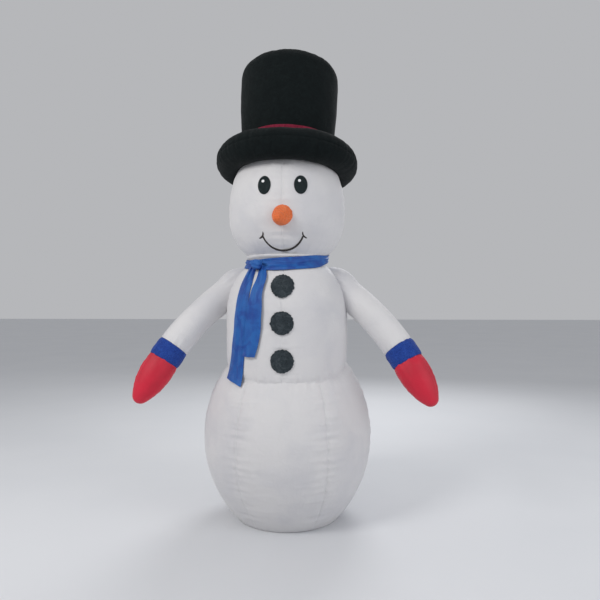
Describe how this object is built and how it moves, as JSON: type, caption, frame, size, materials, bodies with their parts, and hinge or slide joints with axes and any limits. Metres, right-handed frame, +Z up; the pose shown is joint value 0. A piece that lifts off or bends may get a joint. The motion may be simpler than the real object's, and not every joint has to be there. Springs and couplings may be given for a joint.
{
  "type": "inflatable snowman",
  "caption": "Fan-inflated standing snowman decoration with a top hat, scarf, hanging arms with mittens, internal lamps and a rear blower.",
  "frame": {"origin": "centre of the round base on the ground", "axes": "+Z up, the face looks along -Y, the snowman's left arm is on +X"},
  "size_m": [1.4982, 0.913, 2.4216],
  "materials": {
    "ballast_cloth": "woven",
    "black_plastic": "moulded",
    "black_plush": "short plush",
    "black_webbing": "webbing",
    "blue_plush": "short plush",
    "blue_scarf": "soft fleece",
    "brass": "pressed",
    "charcoal_patch": "short plush",
    "dark_red_plush": "short plush",
    "dark_stitching": "satin stitch",
    "frosted_bulb": "frosted",
    "motor_can": "cast",
    "nylon_coil": "nylon",
    "orange_stuffed": "short plush",
    "red_polyester": "woven polyester",
    "steel": "zinc plated",
    "tape": "woven tape",
    "white_cable": "PVC",
    "white_patch": "woven",
    "white_plastic": "moulded",
    "white_polyester": "woven polyester",
    "zip_metal": "moulded nylon"
  },
  "bodies": {
    "standing_body": {"ballast_bag": "ballast_cloth", "base_panel": "white_polyester", "buttons": "charcoal_patch", "fan_clamp_band": "steel", "fan_collar": "white_polyester", "fan_grille": "black_plastic", "fan_inner_housing": "black_plastic", "fan_motor": "motor_can", "fan_outer_housing": "black_plastic", "grille_screws": "steel", "hanger_tape": "tape", "lamp_bulbs": "frosted_bulb", "lamp_sockets": "white_plastic", "light_lead": "white_cable", "lower_panel_back": "white_polyester", "lower_panel_back_left": "white_polyester", "lower_panel_back_right": "white_polyester", "lower_panel_front": "white_polyester", "lower_panel_front_left": "white_polyester", "lower_panel_front_right": "white_polyester", "neck_gusset": "white_polyester", "power_gland": "black_plastic", "scarf_knot": "blue_scarf", "scarf_loop": "blue_scarf", "shoulder_gusset_left": "white_polyester", "shoulder_gusset_right": "white_polyester", "stake_grommets": "brass", "stake_tabs": "black_webbing", "tether_straps": "white_polyester", "torso_panel_back": "white_polyester", "torso_panel_front_left": "white_polyester", "torso_panel_front_right": "white_polyester", "zip_coil": "nylon_coil", "zip_tape": "tape"},
    "head": {"hat_band": "dark_red_plush", "hat_brim_lower": "black_plush", "hat_brim_upper": "black_plush", "hat_crown_side": "black_plush", "hat_crown_top": "black_plush", "head_panel_back": "white_polyester", "head_panel_front_left": "white_polyester", "head_panel_front_right": "white_polyester", "eyes": "charcoal_patch", "eye_glints": "white_patch", "nose": "orange_stuffed", "mouth": "dark_stitching"},
    "arm_left": {"sleeve_left": "white_polyester", "cuff_left": "blue_plush", "mitten_left": "red_polyester"},
    "arm_right": {"sleeve_right": "white_polyester", "cuff_right": "blue_plush", "mitten_right": "red_polyester"},
    "scarf_ends": {"scarf_tail_long": "blue_scarf", "scarf_tail_short": "blue_scarf"},
    "impeller": {"fan_impeller": "black_plastic", "fan_shaft": "steel"},
    "zip_slider": {"zip_slider": "zip_metal"},
    "zip_pull": {"zip_pull": "zip_metal"},
    "tether_ring_left": {"tether_ring_left": "steel"},
    "tether_ring_right": {"tether_ring_right": "steel"}
  },
  "joints": [
    {"name": "head_nod", "type": "hinge", "parent": "standing_body", "child": "head", "pos_m": [0, -0.053, 1.344], "axis": [1, 0, 0], "range_deg": [-4, 4], "stiffness_Nm_per_rad": 90, "deforming": ["neck_gusset"]},
    {"name": "arm_left_lift", "type": "hinge", "parent": "standing_body", "child": "arm_left", "pos_m": [0.3, -0.053, 1.19], "axis": [-0.5, -0.866, 0], "range_deg": [-12, 12], "stiffness_Nm_per_rad": 8, "springref_deg": 2.64, "deforming": ["shoulder_gusset_left"]},
    {"name": "arm_right_lift", "type": "hinge", "parent": "standing_body", "child": "arm_right", "pos_m": [-0.3, -0.053, 1.19], "axis": [-0.5, 0.866, 0], "range_deg": [-12, 12], "stiffness_Nm_per_rad": 8, "springref_deg": 2.64, "deforming": ["shoulder_gusset_right"]},
    {"name": "scarf_ends_swing", "type": "hinge", "parent": "standing_body", "child": "scarf_ends", "pos_m": [-0.12898, -0.26766, 1.28074], "axis": [-0.8572, 0.515, 0], "range_deg": [0, 40]},
    {"name": "impeller_spin", "type": "hinge", "parent": "standing_body", "child": "impeller", "pos_m": [0, 0.392, 0.098], "axis": [0, 1, 0], "continuous": true},
    {"name": "zip_travel", "type": "hinge", "parent": "standing_body", "child": "zip_slider", "pos_m": [0, -0.18161, 0.436], "axis": [1, 0, 0], "range_deg": [0, 20]},
    {"name": "zip_pull_swing", "type": "hinge", "parent": "zip_slider", "child": "zip_pull", "pos_m": [0, 0.44953, 0.47809], "axis": [1, 0, 0], "range_deg": [0, 120]},
    {"name": "tether_ring_left_swing", "type": "hinge", "parent": "standing_body", "child": "tether_ring_left", "pos_m": [0.35299, 0.27579, 0.428], "axis": [0.6157, -0.788, 0], "range_deg": [0, 90]},
    {"name": "tether_ring_right_swing", "type": "hinge", "parent": "standing_body", "child": "tether_ring_right", "pos_m": [-0.35299, 0.27579, 0.428], "axis": [0.6157, 0.788, 0], "range_deg": [0, 90]}
  ]
}
